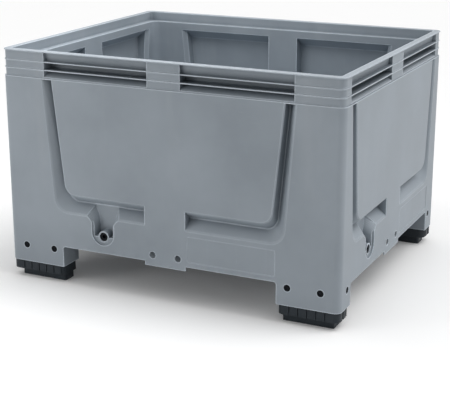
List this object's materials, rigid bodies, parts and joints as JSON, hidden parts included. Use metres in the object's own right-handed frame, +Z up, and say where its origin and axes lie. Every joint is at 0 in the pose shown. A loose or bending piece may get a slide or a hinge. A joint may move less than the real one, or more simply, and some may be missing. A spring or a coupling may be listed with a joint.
{
  "type": "pallet box",
  "caption": "Rigid plastic pallet box with double walls, ribbed stacking rim, pinned black feet and screw plugs in drain outlets.",
  "frame": {"origin": "on the floor under the middle of the box, at the height of the soles", "axes": "+X along the 1200 mm side, +Y along the 1000 mm side towards the back face, +Z up; the front face looks to -Y"},
  "size_m": [1.2, 1, 0.79],
  "materials": {
    "shell_plastic": "blue-grey moulded polyethylene, fine texture",
    "foot_plastic": "near-black moulded polyethylene",
    "pin_plastic": "black moulded plastic",
    "plug_plastic": "black moulded plastic",
    "seal_rubber": "soft black rubber"
  },
  "bodies": {
    "root": {"box_shell": "shell_plastic", "foot_front_left": "foot_plastic", "foot_front_right": "foot_plastic", "foot_back_left": "foot_plastic", "foot_back_right": "foot_plastic", "pin_front_left_outer": "pin_plastic", "pin_front_left_inner": "pin_plastic", "pin_front_left_side": "pin_plastic", "pin_front_right_outer": "pin_plastic", "pin_front_right_inner": "pin_plastic", "pin_front_right_side": "pin_plastic", "pin_back_left_outer": "pin_plastic", "pin_back_left_inner": "pin_plastic", "pin_back_left_side": "pin_plastic", "pin_back_right_outer": "pin_plastic", "pin_back_right_inner": "pin_plastic", "pin_back_right_side": "pin_plastic"},
    "seal_front_body": {"seal_front": "seal_rubber"},
    "plug_front_body": {"plug_front": "plug_plastic"},
    "seal_right_body": {"seal_right": "seal_rubber"},
    "plug_right_body": {"plug_right": "plug_plastic"},
    "seal_back_body": {"seal_back": "seal_rubber"},
    "plug_back_body": {"plug_back": "plug_plastic"},
    "seal_left_body": {"seal_left": "seal_rubber"},
    "plug_left_body": {"plug_left": "plug_plastic"}
  },
  "joints": [
    {"name": "plug_front_back_out", "type": "slide", "parent": "root", "child": "seal_front_body", "axis": [0, -1, 0], "range_m": [0, 0.01154]},
    {"name": "plug_front_turn", "type": "hinge", "parent": "seal_front_body", "child": "plug_front_body", "pos_m": [-0.232, -0.485, 0.188], "axis": [0, -1, 0], "range_deg": [0, 1800]},
    {"name": "plug_right_back_out", "type": "slide", "parent": "root", "child": "seal_right_body", "axis": [1, 0, 0], "range_m": [0, 0.01154]},
    {"name": "plug_right_turn", "type": "hinge", "parent": "seal_right_body", "child": "plug_right_body", "pos_m": [0.585, -0.232, 0.188], "axis": [1, 0, 0], "range_deg": [0, 1800]},
    {"name": "plug_back_back_out", "type": "slide", "parent": "root", "child": "seal_back_body", "axis": [0, 1, 0], "range_m": [0, 0.01154]},
    {"name": "plug_back_turn", "type": "hinge", "parent": "seal_back_body", "child": "plug_back_body", "pos_m": [0.232, 0.485, 0.188], "axis": [0, 1, 0], "range_deg": [0, 1800]},
    {"name": "plug_left_back_out", "type": "slide", "parent": "root", "child": "seal_left_body", "axis": [-1, 0, 0], "range_m": [0, 0.01154]},
    {"name": "plug_left_turn", "type": "hinge", "parent": "seal_left_body", "child": "plug_left_body", "pos_m": [-0.585, 0.232, 0.188], "axis": [-1, 0, 0], "range_deg": [0, 1800]}
  ],
  "couplings": [
    {"joint": "plug_front_turn", "follows": "plug_front_back_out", "rad_per_m": 2721.2},
    {"joint": "plug_right_turn", "follows": "plug_right_back_out", "rad_per_m": 2721.2},
    {"joint": "plug_back_turn", "follows": "plug_back_back_out", "rad_per_m": 2721.2},
    {"joint": "plug_left_turn", "follows": "plug_left_back_out", "rad_per_m": 2721.2}
  ]
}
